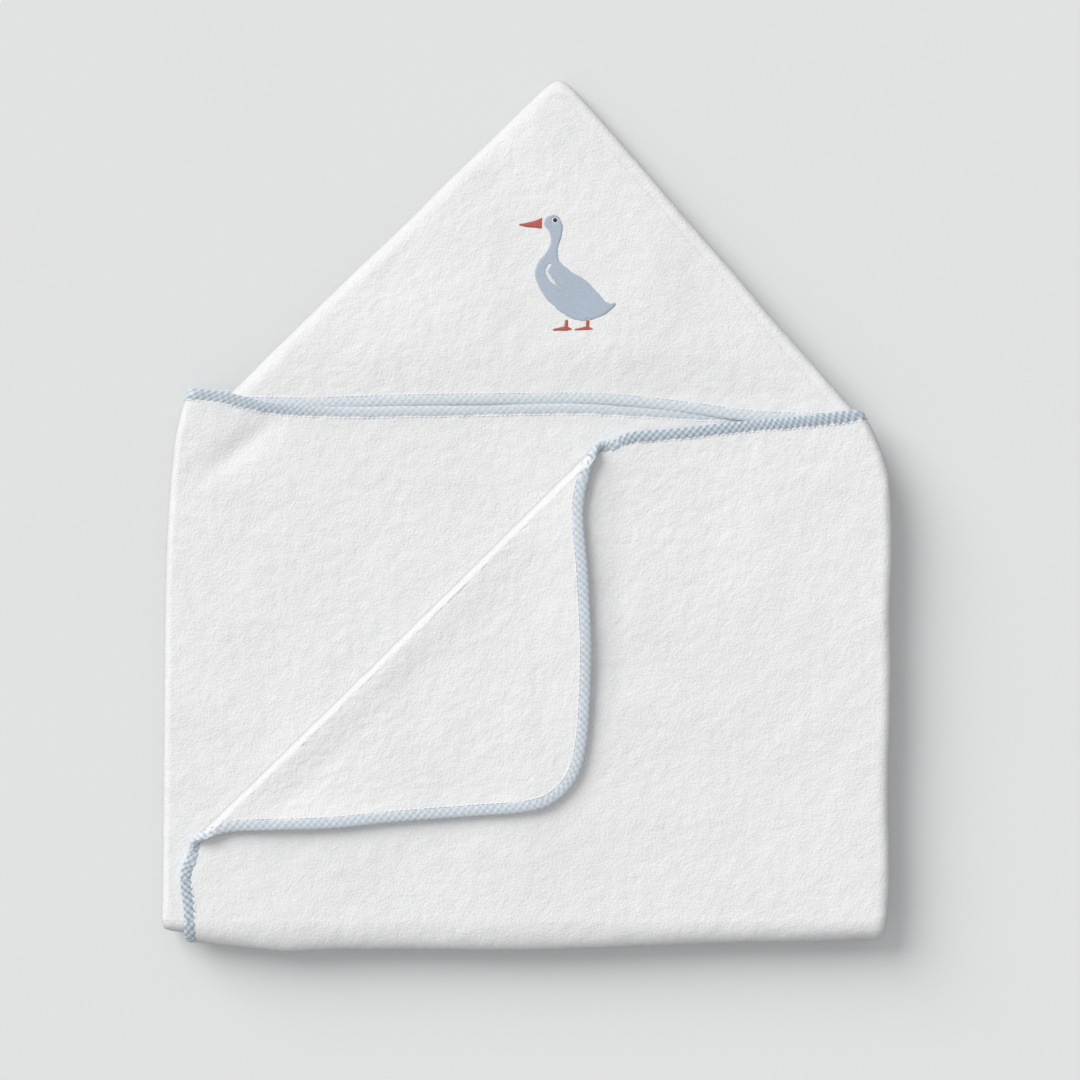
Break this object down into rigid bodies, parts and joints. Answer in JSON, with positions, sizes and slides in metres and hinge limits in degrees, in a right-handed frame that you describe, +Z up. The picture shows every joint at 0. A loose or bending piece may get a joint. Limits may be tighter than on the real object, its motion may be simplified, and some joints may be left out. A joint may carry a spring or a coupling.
{
  "type": "hooded baby towel",
  "caption": "Folded hooded baby towel in white terry with a light blue checked binding, a pointed hood and a stitched goose motif.",
  "frame": {"origin": "middle of the folded stack on its resting plane, under the hood side's and bottom fold's midpoint", "axes": "+Y towards the hood's tip, +X towards the right fold as seen from above, +Z up from the resting plane"},
  "size_m": [0.457, 0.5388, 0.0334],
  "materials": {
    "terry_sheet": "white cotton terry, looped pile on both faces, matt",
    "terry_hood": "white cotton terry, looped pile, matt",
    "gingham_binding": "bias-cut light blue and white gingham cotton tape, fine puckers",
    "sewing_thread": "off-white sewing thread, slight sheen",
    "embroidery_backing": "thin non-woven, matt",
    "thread_blue_grey": "satin-stitched rayon thread, soft sheen",
    "thread_coral": "satin-stitched rayon thread, soft sheen",
    "thread_dark": "satin-stitched rayon thread, soft sheen",
    "thread_white": "satin-stitched rayon thread, soft sheen"
  },
  "bodies": {
    "upper_half": {"centre_upper_panel": "terry_sheet", "left_wing_upper_panel": "terry_sheet", "right_wing_upper_panel": "terry_sheet", "left_fold_upper": "terry_sheet", "right_fold_upper": "terry_sheet", "binding_centre_top": "gingham_binding", "binding_left_wing_upper": "gingham_binding", "binding_right_wing_top": "gingham_binding", "binding_right_wing_side": "gingham_binding", "binding_fold_wraps_upper": "gingham_binding", "binding_thread_upper": "sewing_thread", "neck_seam": "sewing_thread", "half_fold_centre": "terry_sheet", "half_fold_left_wing": "terry_sheet", "half_fold_right_wing": "terry_sheet", "half_fold_binding": "gingham_binding"},
    "lower_half": {"centre_lower_panel": "terry_sheet", "left_wing_lower_panel": "terry_sheet", "right_wing_lower_panel": "terry_sheet", "left_fold_lower": "terry_sheet", "right_fold_lower": "terry_sheet", "binding_centre_lower": "gingham_binding", "binding_left_wing_lower": "gingham_binding", "binding_right_wing_lower": "gingham_binding", "binding_fold_wraps_lower": "gingham_binding", "binding_thread_lower": "sewing_thread"},
    "turned_corner": {"corner_panel": "terry_sheet", "corner_binding": "gingham_binding", "corner_thread": "sewing_thread", "corner_crease": "terry_sheet", "corner_crease_binding": "gingham_binding"},
    "hood": {"hood_front_panel": "terry_hood", "hood_back_panel": "terry_hood", "hood_left_fold": "terry_hood", "hood_right_seam": "terry_hood", "hood_face_binding": "gingham_binding", "hood_face_thread": "sewing_thread", "embroidery_backing": "embroidery_backing", "goose_body": "thread_blue_grey", "goose_bill": "thread_coral", "goose_eye": "thread_dark", "goose_wing_line": "thread_white", "goose_feet": "thread_coral"}
  },
  "joints": [
    {"name": "half_fold", "type": "hinge", "parent": "upper_half", "child": "lower_half", "pos_m": [0, -0.1593, 0.0142], "axis": [-1, 0, 0], "range_deg": [0, 179.8], "deforming": ["half_fold_centre", "half_fold_left_wing", "half_fold_right_wing", "half_fold_binding"]},
    {"name": "corner_fold", "type": "hinge", "parent": "upper_half", "child": "turned_corner", "pos_m": [0.058, 0.1497, 0.0286], "axis": [-0.7133, -0.7009, 0], "range_deg": [0, 179.8], "deforming": ["corner_crease", "corner_crease_binding"]},
    {"name": "hood_fold", "type": "hinge", "parent": "upper_half", "child": "hood", "pos_m": [0, 0.17, 0.019], "axis": [1, 0, 0], "range_deg": [0, 90]}
  ]
}
